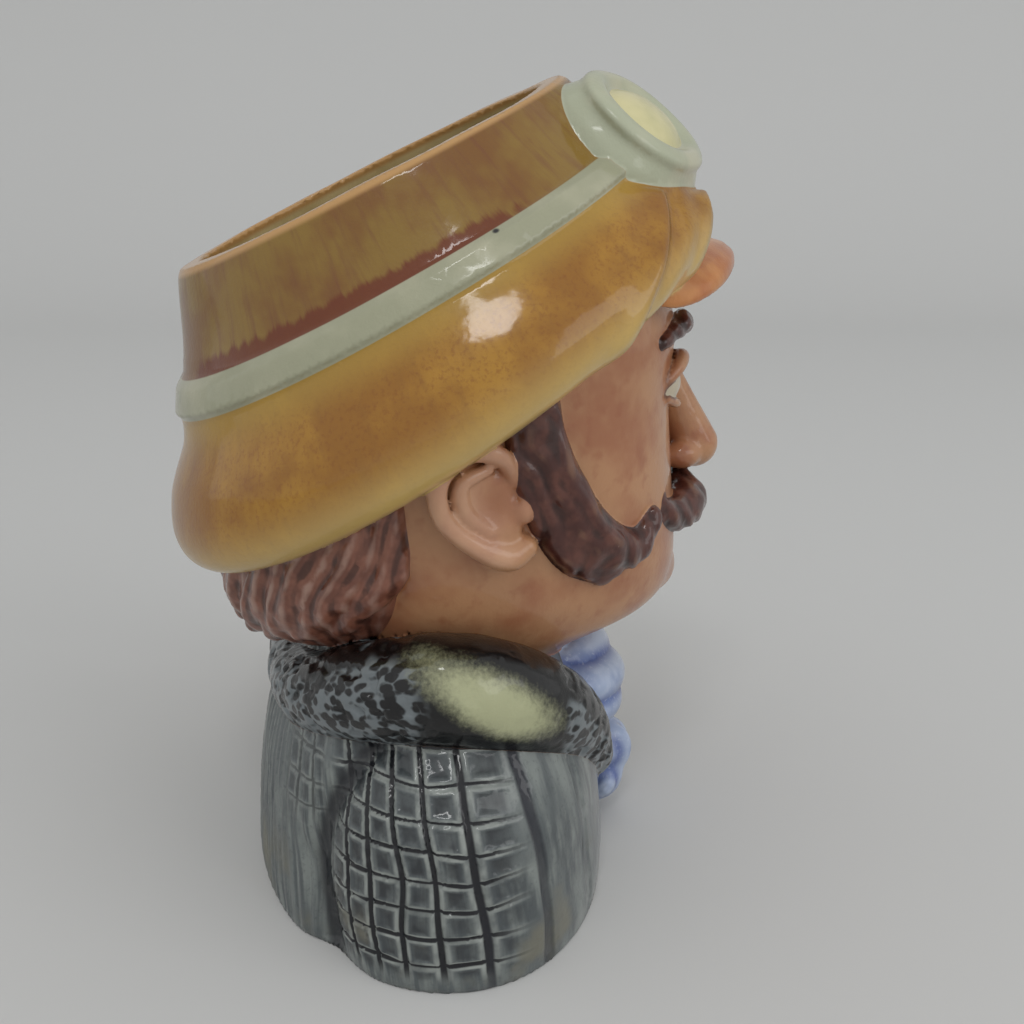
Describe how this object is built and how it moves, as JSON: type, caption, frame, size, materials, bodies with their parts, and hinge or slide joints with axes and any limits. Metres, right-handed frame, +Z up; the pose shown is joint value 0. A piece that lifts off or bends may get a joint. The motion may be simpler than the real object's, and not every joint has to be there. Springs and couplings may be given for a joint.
{
  "type": "toby jug",
  "caption": "Hollow cast earthenware jug shaped as the head and shoulders of an old-time motorist, open at the top of the cap, with a loop handle.",
  "frame": {"origin": "middle of the flat foot, on the surface that the jug stands on", "axes": "+Z up, the figure faces -Y, and its left side, with the handle, is +X"},
  "size_m": [0.0868, 0.065, 0.0903],
  "materials": {
    "painted_glazed_earthenware": "underglaze colours brushed and sprayed on by hand under a clear gloss glaze"
  },
  "bodies": {
    "root": {"jug": "painted_glazed_earthenware"}
  },
  "joints": []
}
